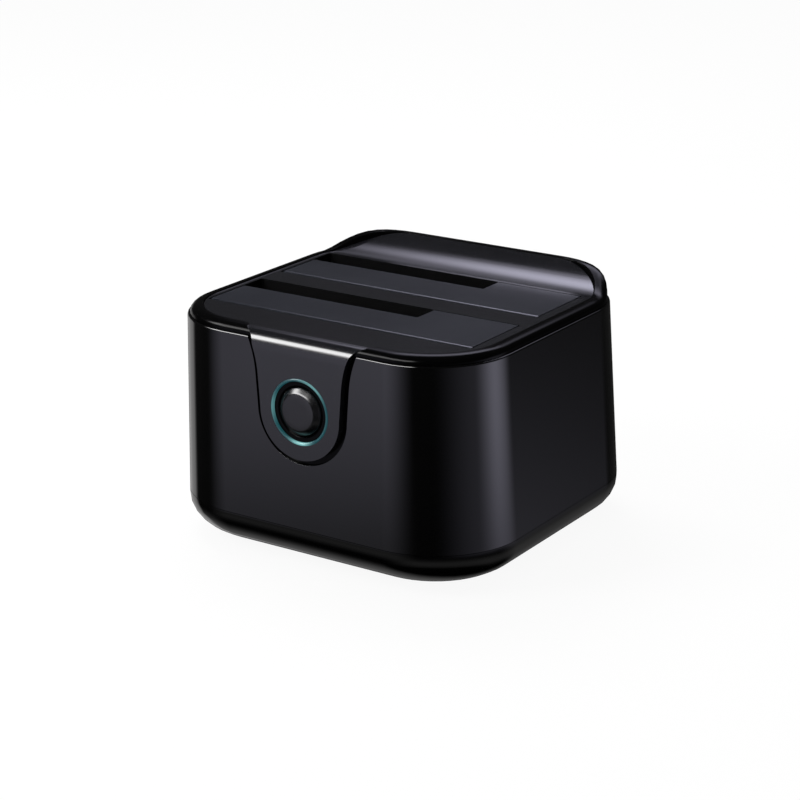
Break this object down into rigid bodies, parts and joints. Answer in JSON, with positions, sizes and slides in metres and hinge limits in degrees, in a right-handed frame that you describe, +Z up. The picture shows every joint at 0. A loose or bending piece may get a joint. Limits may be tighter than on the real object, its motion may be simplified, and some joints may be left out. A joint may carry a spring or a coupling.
{
  "type": "hard drive docking station",
  "caption": "Black dual-bay hard drive docking station with spring flaps over the drive bays and a ring-lit power button on a folded front tongue.",
  "frame": {"origin": "middle of the footprint on the table plane, under the feet", "axes": "+Z up, +Y to the back wall with the ports, +X to the right when facing the power button"},
  "size_m": [0.124, 0.1242, 0.086],
  "materials": {
    "gloss_black": "high gloss black moulding",
    "deck_grey": "fine satin texture",
    "well_black": "matte black moulding",
    "button_grey": "satin gloss",
    "ring_clear": "frosted light guide, tinted pale teal",
    "led_white": "small lamp bodies",
    "steel": "bright drawn steel",
    "board_green": "solder mask",
    "chip_black": "moulded package",
    "connector_black": "moulded connector",
    "header_white": "ivory moulding",
    "ribbon_grey": "flat cable",
    "tin": "plated sheet",
    "capacitor_can": "bare can",
    "contact_blue": "moulded contact carrier",
    "foot_rubber": "soft rubber"
  },
  "bodies": {
    "dock": {"body_shell": "gloss_black", "base_pan": "gloss_black", "top_bezel": "gloss_black", "top_deck": "deck_grey", "front_bay_well": "well_black", "rear_bay_well": "well_black", "front_flap_pin": "steel", "rear_flap_pin": "steel", "front_flap_spring": "steel", "rear_flap_spring": "steel", "button_collar": "connector_black", "light_ring": "ring_clear", "button_board": "board_green", "button_switch": "chip_black", "ring_leds": "led_white", "button_header": "header_white", "button_ribbon": "ribbon_grey", "main_board": "board_green", "front_sata_connector": "connector_black", "rear_sata_connector": "connector_black", "bridge_chip": "chip_black", "power_chips": "chip_black", "power_coil": "chip_black", "board_capacitors": "capacitor_can", "usb_socket": "tin", "usb_contacts": "contact_blue", "dc_jack": "connector_black", "dc_jack_pin": "tin", "feet": "foot_rubber", "case_screws": "steel", "board_screws": "steel", "well_screws": "steel", "button_screws": "steel"},
    "front_flap": {"front_flap": "deck_grey"},
    "rear_flap": {"rear_flap": "deck_grey"},
    "button": {"power_button": "button_grey", "switch_plunger": "chip_black"}
  },
  "joints": [
    {"name": "front_flap_hinge", "type": "hinge", "parent": "dock", "child": "front_flap", "pos_m": [0, -0.03712, 0.0776], "axis": [-1, 0, 0], "range_deg": [0, 90], "stiffness_Nm_per_rad": 0.02, "springref_deg": -28.65, "deforming": ["front_flap_spring"]},
    {"name": "rear_flap_hinge", "type": "hinge", "parent": "dock", "child": "rear_flap", "pos_m": [0, 0.00367, 0.0776], "axis": [-1, 0, 0], "range_deg": [0, 90], "stiffness_Nm_per_rad": 0.02, "springref_deg": -28.65, "deforming": ["rear_flap_spring"]},
    {"name": "power_button_slide", "type": "slide", "parent": "dock", "child": "button", "axis": [0, 1, 0], "range_m": [0, 0.0006], "stiffness_N_per_m": 600, "springref_m": -0.001}
  ]
}
